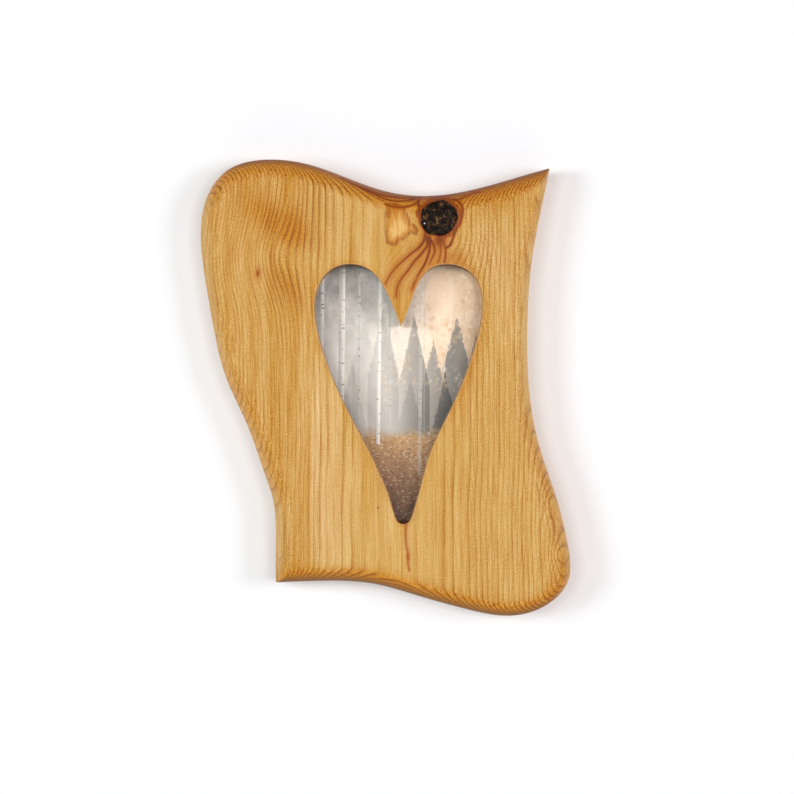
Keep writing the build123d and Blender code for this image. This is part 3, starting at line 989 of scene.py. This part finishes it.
resin_depth = node(tree, "Attribute", attribute_name="pocket")
resin_fill = node(tree, "MapRange", {"Value": resin_depth["Fac"], "From Min": -0.2, "From Max": 0.8,
                                     "To Max": 0.8})
resin_glow = node(tree, "MapRange", {"Value": resin_depth["Fac"], "From Min": 0.8, "From Max": 3.6})
resin_noise = long_noise(tree, in_mm, RESIN_STREAK, RESIN_LENGTH, 3.0)
resin_run = node(tree, "Math", {0: resin_glow["Result"], 1: 0.45, 2: resin_noise}, operation="MULTIPLY_ADD")
top_heavy = node(tree, "Math", {0: deeper_and_shaded["Fac"], 1: -0.55, 2: resin_run[0]}, operation="MULTIPLY_ADD")
resin_tint = node(tree, "ValToRGB", {0: top_heavy[0]},
                  stops=[(0.25, "#a0520e"), (0.45, "#b8711e"), (0.68, "#c88a38"), (0.95, "#e0b46c")])
resin_skin = node(tree, "Math", {0: resin_depth["Fac"]}, operation="ABSOLUTE")
resin_wall = node(tree, "MapRange", {"Value": resin_skin[0], "From Min": 1.0, "From Max": 0.3,
                                     "To Max": 0.75})
resin_break = node(tree, "MapRange", {"Value": resin_noise, "From Min": 0.62, "From Max": 0.42,
                                      "To Min": 0.25})
resin_rim = node(tree, "Math", {0: resin_wall["Result"], 1: resin_break["Result"]}, operation="MULTIPLY")
resinous = layered(tree, fibred["Color"], (resin_fill["Result"], resin_tint["Color"]),
                   (resin_rim[0], "#8a4208"))
print("resin pocket:", round(float(pocket.max()), 1), "mm from its wall to its middle")

# %% Oiled pine: red marks, end grain, painted shade below and painted highlights at the edges
redness = node(tree, "Attribute", attribute_name="ember")
red_break = node(tree, "MapRange", {"Value": fibres, "From Min": 0.3, "From Max": 0.65,
                                    "To Min": 0.65, "To Max": 1.12})
red_mix = node(tree, "Math", {0: redness["Fac"], 1: red_break["Result"]}, operation="MULTIPLY")
amber = node(tree, "MapRange", {"Value": red_mix[0], "From Min": 0.02, "From Max": 0.6})
bark = node(tree, "MapRange", {"Value": red_mix[0], "From Min": 0.45, "From Max": 0.95})
top_end = node(tree, "MapRange", {"Value": normal["Z"], "From Min": 0.66, "From Max": 0.96, "To Max": 0.85})
# Faces turned downwards go a greyer brown: partly their end grain, partly painted shade of the underside.
end_grain_and_shade_below = node(tree, "MapRange", {"Value": normal["Z"], "From Min": -0.35, "From Max": -0.95, "To Max": 0.8})
# Steep faces turned left or right get a pale painted sheen, a painted highlight for light from the sides.
to_side = node(tree, "Math", {0: normal["X"]}, operation="ABSOLUTE")
painted_side_sheen = node(tree, "ValToRGB", {0: to_side[0]}, stops=[(0.5, 0.0), (0.8, 0.3), (0.94, 0.3), (0.99, 0.0)])
# A thin pale painted highlight along the eased arris of the heart.
heart_edge = node(tree, "Attribute", attribute_name="arris")
painted_arris_highlight = node(tree, "Math", {0: heart_edge["Fac"], 1: 0.3}, operation="MULTIPLY")
oiled = layered(tree, resinous, (amber["Result"], "#a8540e"), (bark["Result"], "#4a1c06"),
                (top_end["Result"], "#7a360a"), (end_grain_and_shade_below["Result"], "#6c4820"),
                (painted_side_sheen["Color"], "#deba84"), (painted_arris_highlight[0], "#eed6a8"))
print("pine colours:", sum(n.bl_idname == "ShaderNodeMix" for n in tree.nodes), "mixes")

# %% Oiled pine: shine and relief
relief = node(tree, "Math", {0: line[0], 1: 0.4, 2: fibres}, operation="MULTIPLY_ADD")
grain_bump = node(tree, "Bump", {"Strength": 0.25, "Distance": 0.12 * MM, "Height": relief[0]})
shine = node(tree, "MapRange", {"Value": fibres, "To Min": 0.46, "To Max": 0.62})
pine_shader = node(tree, "BsdfPrincipled", {"Base Color": oiled, "Roughness": shine["Result"], "IOR": 1.47,
                                            "Specular IOR Level": 0.22, "Normal": grain_bump["Normal"]})
node(tree, "OutputMaterial", {"Surface": pine_shader["BSDF"]})
board_mesh.materials.append(pine)
print("pine:", len(tree.nodes), "nodes")

# %% [markdown]
# ## The dead knot
# The stub of a dead branch, held in the board by its bark: nearly black, crumbly and dull, with a few brown
# flecks and a pale spot at its left, a painted highlight for the glint on a drop of resin. Its own material
# covers the faces inside the rim. Its hollows are carved in the mesh, so the shader only adds colour and the
# finest crumbs.

# %% Dead knot
CRUMBS_PER_MM = 0.34
BRANCH_RING = 1.5
BRANCH_PITH = (KNOT[0] + 1.0, FRONT, KNOT[1] + 1.5)
RESIN_GLINT_SPOT = (20.7, FRONT + 0.6, -10.1)

# Old dead wood: black and matt, because its broken surface swallows the light.
knot, tree = new_material("dead pine knot, dark with old resin")
in_mm = place_in_mm(tree)
from_pith = node(tree, "VectorMath", {0: in_mm, 1: BRANCH_PITH}, operation="SUBTRACT")
branch_flat = node(tree, "VectorMath", {0: from_pith["Vector"], 1: (1.0, 0.0, 1.0)}, operation="MULTIPLY")
branch_radius = node(tree, "VectorMath", {0: branch_flat["Vector"]}, operation="LENGTH")
crumbs = node(tree, "TexNoise", {"Vector": in_mm, "Scale": CRUMBS_PER_MM, "Detail": 4.0, "Roughness": 0.66})
bent_radius = node(tree, "Math", {0: crumbs["Fac"], 1: 3.0, 2: branch_radius["Value"]},
                   operation="MULTIPLY_ADD")
branch_rings = node(tree, "Math", {0: bent_radius[0], 1: 2 * math.pi / BRANCH_RING}, operation="MULTIPLY")
ring_wave = node(tree, "Math", {0: branch_rings[0]}, operation="SINE")
blotch = node(tree, "Math", {0: ring_wave[0], 1: 0.035, 2: crumbs["Fac"]}, operation="MULTIPLY_ADD")
char = node(tree, "ValToRGB", {0: blotch[0]},
            stops=[(0.38, "#080504"), (0.50, "#1c120a"), (0.58, "#3c2816"), (0.65, "#6a4a28"),
                   (0.72, "#a07c50")])
# A pale spot at the knot's left is a painted highlight: the glint on a drop of resin.
glint_gap = node(tree, "VectorMath", {0: in_mm, 1: RESIN_GLINT_SPOT}, operation="DISTANCE")
painted_glint_mask = node(tree, "MapRange", {"Value": glint_gap["Value"], "From Min": 0.55, "From Max": 0.25})
char_with_glint = layered(tree, char["Color"], (painted_glint_mask["Result"], "#dcd8d0"))
knot_bump = node(tree, "Bump", {"Strength": 0.8, "Distance": 0.8 * MM, "Height": blotch[0]})
knot_shader = node(tree, "BsdfPrincipled", {"Base Color": char_with_glint, "Roughness": 0.6,
                                            "Specular IOR Level": 0.12, "Normal": knot_bump["Normal"]})
node(tree, "OutputMaterial", {"Surface": knot_shader["BSDF"]})
board_mesh.materials.append(knot)

in_knot = (knot_share < 1.0) & on_front
knot_faces = [p for p in board_mesh.polygons if all(in_knot[i] for i in p.vertices)]
for polygon in knot_faces:
    polygon.material_index = 1
print("knot faces:", len(knot_faces))

# %% [markdown]
# ## Glass, print and backing
# The pane is plain float glass, 2 mm thick. Lamps shine through it as if it were not there, so it casts no
# shadow on the print. The print is a misty wood: rows of conifers, birch trunks and a floor of leaves. A
# picture file would be simpler, but drawn by the shader the print needs no other file. Each row of trees is
# one turn of a loop over upright cells, with trees of random height or none. Behind the print lie a grey card
# and a hardboard back.

# %% Float glass
SMEARS_ACROSS = 25.0  # about 4 mm each on a pane 102 mm wide


def dress(name, material):
    """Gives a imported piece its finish."""
    slots = nodes[name].data.materials
    slots.clear()
    slots.append(material)


# Float glass is flat and bright: the print shows sharp through it, under a thin clear shine.
glass, tree = new_material("float glass, clear and polished")
smear = node(tree, "TexNoise", {"Scale": SMEARS_ACROSS, "Detail": 2.0})
smear_shine = node(tree, "MapRange", {"Value": smear["Fac"], "To Min": 0.0, "To Max": 0.03})
pane = node(tree, "BsdfPrincipled", {"Base Color": linear("#fbfdfc"), "Roughness": smear_shine["Result"],
                                     "IOR": 1.52, "Transmission Weight": 1.0})
node(tree, "OutputMaterial", {"Surface": pane["BSDF"]})
dress("glass_pane", glass)
nodes["glass_pane"].visible_shadow = False
print("glass pane dressed")

# %% Photo print: sky and mist
MIST_SCALE = 7.0

# Semi-gloss photo paper: even, clean colours with a weak shine over them.
photo, tree = new_material("photo paper, printed, semi-gloss")
print_low, print_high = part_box("photo_print")
print_size = print_high - print_low
place = node(tree, "TexCoord")
from_corner = node(tree, "VectorMath", {0: place["Object"], 1: tuple(print_low)}, operation="SUBTRACT")
share = node(tree, "VectorMath", {0: from_corner["Vector"], 1: (1 / print_size.x, 1.0, 1 / print_size.z)},
             operation="MULTIPLY")["Vector"]
part = node(tree, "SeparateXYZ", {0: share})
sky = node(tree, "ValToRGB", {0: part["X"]},
           stops=[(0.0, "#dcd6ce"), (0.28, "#dcd6ce"), (0.50, "#ece2d6"), (0.75, "#f0d6b8"),
                  (1.0, "#e0bf98")])
cloud_height = node(tree, "MapRange", {"Value": part["Z"], "From Min": 0.66, "From Max": 0.86,
                                       "To Max": 0.85})
cloud_side = node(tree, "MapRange", {"Value": part["X"], "From Min": 0.6, "From Max": 0.32})
cloud_mask = node(tree, "Math", {0: cloud_height["Result"], 1: cloud_side["Result"]}, operation="MULTIPLY")
mist = node(tree, "TexNoise", {"Vector": share, "Scale": MIST_SCALE, "Detail": 6.0, "Roughness": 0.7})
mist_mask = node(tree, "MapRange", {"Value": mist["Fac"], "From Min": 0.42, "From Max": 0.66, "To Max": 0.45})
picture = layered(tree, sky["Color"], (cloud_mask[0], "#948d86"), (mist_mask["Result"], "#fffaf2"))
print("print:", [round(v / MM, 1) for v in print_size], "mm")

# %% Photo print: conifers
CONIFERS = [
    # foot and height as shares of the print, cells across, slope of the sides, colour, strength
    (0.56, 0.22, 11.0, 2.2, "#d6cfc6", 0.8),
    (0.52, 0.24, 8.0, 2.6, "#978f88", 0.85),
    (0.45, 0.26, 6.0, 3.0, "#706a65", 0.95),
]


def cells_of(cells):
    """Cuts the print into upright cells. Gives a point's place across, its cell's number and its luck."""
    across = node(tree, "Math", {0: part["X"], 1: cells}, operation="MULTIPLY")
    number = node(tree, "Math", {0: across[0]}, operation="FLOOR")
    luck = node(tree, "TexWhiteNoise", {"W": number[0]}, noise_dimensions="1D")
    return across[0], number[0], luck["Value"]


mostly_right = node(tree, "MapRange", {"Value": part["X"], "From Min": 0.45, "From Max": 0.78,
                                       "To Min": 0.2, "To Max": 1.0})
for foot, tall, cells, slope, colour, strength in CONIFERS:
    across, _, luck = cells_of(cells)
    middle = node(tree, "Math", {0: across, 1: 0.5}, operation="PINGPONG")
    twigs = node(tree, "TexNoise", {"Vector": share, "Scale": cells * 9, "Detail": 2.0})
    rise = node(tree, "Math", {0: luck, 1: tall, 2: foot - 0.05}, operation="MULTIPLY_ADD")
    spread = node(tree, "Math", {0: middle[0], 1: slope / cells, 2: rise[0]}, operation="MULTIPLY_ADD")
    ragged = node(tree, "Math", {0: twigs["Fac"], 1: 0.10, 2: spread[0]}, operation="MULTIPLY_ADD")
    under = node(tree, "Math", {0: ragged[0], 1: part["Z"]}, operation="SUBTRACT")
    mask = node(tree, "MapRange", {"Value": under[0], "From Min": 0.12, "From Max": 0.135,
                                   "To Max": strength})
    cover = node(tree, "Math", {0: mask["Result"], 1: mostly_right["Result"]}, operation="MULTIPLY")
    picture = layered(tree, picture, (cover[0], colour))
print("conifers:", len(CONIFERS), "rows")

# %% Photo print: ground and twigs with leaves
GROUND = 0.36
LEAVES_ACROSS = 60.0
TWIG_LEAVES = 42.0

ground_noise = node(tree, "TexNoise", {"Vector": share, "Scale": 6.0, "Detail": 4.0})
ground_edge = node(tree, "Math", {0: ground_noise["Fac"], 1: 0.10, 2: GROUND - 0.05},
                   operation="MULTIPLY_ADD")
below = node(tree, "Math", {0: ground_edge[0], 1: part["Z"]}, operation="SUBTRACT")
soil = node(tree, "ValToRGB", {0: part["Z"]}, stops=[(0.05, "#a87c60"), (0.2, "#b88a68"), (0.36, "#d0a874")])
leaf_flow = node(tree, "VectorMath", {0: share, 1: (LEAVES_ACROSS, 1.0, 2.6 * LEAVES_ACROSS)},
                 operation="MULTIPLY")
leaves = node(tree, "TexVoronoi", {"Vector": leaf_flow["Vector"], "Scale": 1.0})
leaf_tint = node(tree, "ValToRGB", {0: leaves["Color"]},
                 stops=[(0.2, "#7e5c46"), (0.45, "#a88058"), (0.6, "#c9a474"), (0.8, "#ecd9bc")])
leaf_mask = node(tree, "MapRange", {"Value": leaves["Distance"], "From Min": 0.55, "From Max": 0.35,
                                    "To Max": 0.55})
littered = layered(tree, soil["Color"], (leaf_mask["Result"], leaf_tint["Color"]))
ground_mask = node(tree, "MapRange", {"Value": below[0], "From Min": -0.02, "From Max": 0.02})
picture = layered(tree, picture, (ground_mask["Result"], littered))

crown_flow = node(tree, "VectorMath", {0: share, 1: (TWIG_LEAVES, 1.0, 1.4 * TWIG_LEAVES)},
                  operation="MULTIPLY")
crown = node(tree, "TexVoronoi", {"Vector": crown_flow["Vector"], "Scale": 1.0})
crown_tint = node(tree, "ValToRGB", {0: crown["Color"]},
                  stops=[(0.25, "#dcc6a6"), (0.42, "#ecd6b4"), (0.6, "#fff6e8"), (0.8, "#d8b98e")])
crown_shape = node(tree, "TexNoise", {"Vector": share, "Scale": 5.0, "Detail": 5.0, "Roughness": 0.65})
crown_high = node(tree, "Math", {0: part["Z"], 1: 0.35, 2: crown_shape["Fac"]}, operation="MULTIPLY_ADD")
crown_mask = node(tree, "MapRange", {"Value": crown_high[0], "From Min": 0.70, "From Max": 0.80,
                                     "To Max": 0.5})
leaf_dot = node(tree, "MapRange", {"Value": crown["Distance"], "From Min": 0.6, "From Max": 0.4})
crown_cover = node(tree, "Math", {0: crown_mask["Result"], 1: leaf_dot["Result"]}, operation="MULTIPLY")
to_right = node(tree, "MapRange", {"Value": part["X"], "From Min": 0.3, "From Max": 0.7, "To Min": 0.25})
crown_part = node(tree, "Math", {0: crown_cover[0], 1: to_right["Result"]}, operation="MULTIPLY")
picture = layered(tree, picture, (crown_part[0], crown_tint["Color"]))
print("leaves on the ground:", round(print_size.x / MM / LEAVES_ACROSS, 1), "mm wide")

# %% Photo print: birches
BIRCHES = [
    # cells across, foot as a share of the print, colour of the bark, half width as a share of the cell
    (15.0, 0.34, "#dcd6ce", 0.09),
    (7.0, 0.27, "#f8f3ec", 0.075),
]
SECOND_DRAW = 40.5  # shifts a cell's number, for luck that is not tied to the first

left_half = node(tree, "MapRange", {"Value": part["X"], "From Min": 0.45, "From Max": 0.7,
                                    "To Min": 0.9, "To Max": 0.0})
for cells, foot, bark, girth in BIRCHES:
    across, number, luck = cells_of(cells)
    in_cell = node(tree, "Math", {0: across}, operation="FRACT")
    trunk = node(tree, "Math", {0: luck, 1: 0.5, 2: 0.25}, operation="MULTIPLY_ADD")
    swayed = node(tree, "Math", {0: part["Z"], 1: 0.12, 2: trunk[0]}, operation="MULTIPLY_ADD")
    off = node(tree, "Math", {0: in_cell[0], 1: swayed[0]}, operation="SUBTRACT")
    away = node(tree, "Math", {0: off[0]}, operation="ABSOLUTE")
    stem = node(tree, "MapRange", {"Value": away[0], "From Min": girth, "From Max": 0.8 * girth})
    root = node(tree, "Math", {0: luck, 1: 0.12, 2: foot - 0.06}, operation="MULTIPLY_ADD")
    standing = node(tree, "Math", {0: part["Z"], 1: root[0]}, operation="GREATER_THAN")
    seed = node(tree, "Math", {0: number, 1: SECOND_DRAW}, operation="ADD")
    chance = node(tree, "TexWhiteNoise", {"W": seed[0]}, noise_dimensions="1D")
    planted = node(tree, "Math", {0: chance["Value"], 1: 0.35}, operation="GREATER_THAN")
    upright = node(tree, "Math", {0: standing[0], 1: planted[0]}, operation="MULTIPLY")
    grown = node(tree, "Math", {0: stem["Result"], 1: upright[0]}, operation="MULTIPLY")
    cover = node(tree, "Math", {0: grown[0], 1: left_half["Result"]}, operation="MULTIPLY")
    scar_flow = node(tree, "VectorMath", {0: share, 1: (cells * 4, 1.0, 130.0)}, operation="MULTIPLY")
    scars = node(tree, "TexNoise", {"Vector": scar_flow["Vector"], "Scale": 1.0, "Detail": 2.0})
    scar_mask = node(tree, "MapRange", {"Value": scars["Fac"], "From Min": 0.58, "From Max": 0.66,
                                        "To Max": 0.75})
    round_side = node(tree, "MapRange", {"Value": off[0], "From Min": -girth, "From Max": girth,
                                         "To Min": 0.3, "To Max": 0.0})
    shade = node(tree, "Math", {0: scar_mask["Result"], 1: round_side["Result"]}, operation="MAXIMUM")
    picture = layered(tree, picture, (cover[0], layered(tree, bark, (shade[0], "#57504b"))))
photo_shader = node(tree, "BsdfPrincipled", {"Base Color": picture, "Roughness": 0.35,
                                             "Specular IOR Level": 0.3})
node(tree, "OutputMaterial", {"Surface": photo_shader["BSDF"]})
dress("photo_print", photo)
print("birches:", len(BIRCHES), "rows; the print has", len(tree.nodes), "nodes")

# %% Card and hardboard
CLOUD = 25.0  # mm


def fibre_board(name, pale, dark, grit, rough, flecks):
    """Pressed fibre: a mottled sheet of two tones with short stray fibres, its grit in mm."""
    material, tree = new_material(name)
    in_mm = place_in_mm(tree)
    pulp = node(tree, "TexNoise", {"Vector": in_mm, "Scale": 1 / grit, "Detail": 6.0, "Roughness": 0.7})
    cloudy = node(tree, "TexNoise", {"Vector": in_mm, "Scale": 1 / CLOUD, "Detail": 2.0})
    both = node(tree, "Math", {0: pulp["Fac"], 1: cloudy["Fac"]}, operation="ADD")
    tones = node(tree, "MapRange", {"Value": both[0], "From Min": 0.7, "From Max": 1.3})
    strands = long_noise(tree, in_mm, grit, grit / 0.12, 4.0)
    strand_mask = node(tree, "MapRange", {"Value": strands, "From Min": 0.62, "From Max": 0.72,
                                          "To Max": 0.4})
    colour = layered(tree, dark, (tones["Result"], pale), (strand_mask["Result"], flecks))
    bump = node(tree, "Bump", {"Strength": 0.3, "Distance": 0.1 * MM, "Height": both[0]})
    shader = node(tree, "BsdfPrincipled", {"Base Color": colour, "Roughness": rough,
                                           "Normal": bump["Normal"]})
    node(tree, "OutputMaterial", {"Surface": shader["BSDF"]})
    return material


# Pulp card is dull and a little cloudy. Hot pressing gives hardboard a smooth brown face with a weak shine.
card = fibre_board("grey card, pressed from pulp", "#a8a49c", "#8f8b84", 1.2, 0.9, "#77736c")
hardboard = fibre_board("hardboard, hot pressed smooth", "#8a5f3a", "#6f4826", 1.6, 0.5, "#a57a4c")
dress("filler_card", card)
dress("backing_board", hardboard)
print("dressed:", card.name, "and", hardboard.name)

# %% [markdown]
# ## Metal and rubber
# The turn buttons are stamped from brass sheet and their screws are turned from brass, all with a satin
# plating. The hanger is zinc plated steel, and four soft pads keep the frame off the wall. Both metals share
# one recipe, a bright metal that is patchy and streaked by its making, and differ in colour and polish.

# %% Brass and zinc
PATCH = 3.0  # mm


def worked_metal(name, bright, dull, streak, polished, brushed):
    """A metal with patches of two tones and fine streaks, in mm, between two degrees of roughness."""
    material, tree = new_material(name)
    in_mm = place_in_mm(tree)
    patches = node(tree, "TexNoise", {"Vector": in_mm, "Scale": 1 / PATCH, "Detail": 4.0, "Roughness": 0.6})
    patch_mask = node(tree, "MapRange", {"Value": patches["Fac"], "From Min": 0.4, "From Max": 0.7})
    colour = layered(tree, bright, (patch_mask["Result"], dull))
    drawn = node(tree, "VectorMath", {0: in_mm, 1: (0.1, 1.0, 1.0)}, operation="MULTIPLY")
    streaks = node(tree, "TexNoise", {"Vector": drawn["Vector"], "Scale": 1 / streak, "Detail": 3.0})
    rough = node(tree, "MapRange", {"Value": streaks["Fac"], "From Min": 0.3, "From Max": 0.7,
                                    "To Min": polished, "To Max": brushed})
    bump = node(tree, "Bump", {"Strength": 0.15, "Distance": 0.05 * MM, "Height": streaks["Fac"]})
    shader = node(tree, "BsdfPrincipled", {"Base Color": colour, "Metallic": 1.0,
                                           "Roughness": rough["Result"], "Normal": bump["Normal"]})
    node(tree, "OutputMaterial", {"Surface": shader["BSDF"]})
    return material


# Satin brass is yellow and softly bright. Zinc is a cool grey, duller, with a faint bloom.
brass = worked_metal("brass, stamped and satin plated", "#e6c274", "#b8924e", 0.3, 0.18, 0.34)
zinc = worked_metal("mild steel, zinc plated", "#c6c8ca", "#a9acb0", 0.4, 0.25, 0.42)
for name in nodes:
    if name.startswith(("turn_button", "button_screw")):
        dress(name, brass)
    elif name.startswith("hanger"):
        dress(name, zinc)
print("dressed:", brass.name, "and", zinc.name)

# %% Rubber pads
DUST = 2 / 3  # mm

# Moulded rubber is dark and matt, with a grey bloom of dust.
rubber, tree = new_material("soft grey rubber, moulded")
dust = node(tree, "TexNoise", {"Vector": place_in_mm(tree), "Scale": 1 / DUST, "Detail": 5.0})
dusty = node(tree, "ValToRGB", {0: dust["Fac"]}, stops=[(0.35, "#3a3b3c"), (0.65, "#4b4c4d")])
rubber_bump = node(tree, "Bump", {"Strength": 0.2, "Distance": 0.1 * MM, "Height": dust["Fac"]})
rubber_shader = node(tree, "BsdfPrincipled", {"Base Color": dusty["Color"], "Roughness": 0.8,
                                              "Specular IOR Level": 0.3, "Normal": rubber_bump["Normal"]})
node(tree, "OutputMaterial", {"Surface": rubber_shader["BSDF"]})
pads = [name for name in nodes if name.startswith("wall_pad")]
for name in pads:
    dress(name, rubber)
print("pads dressed:", len(pads))
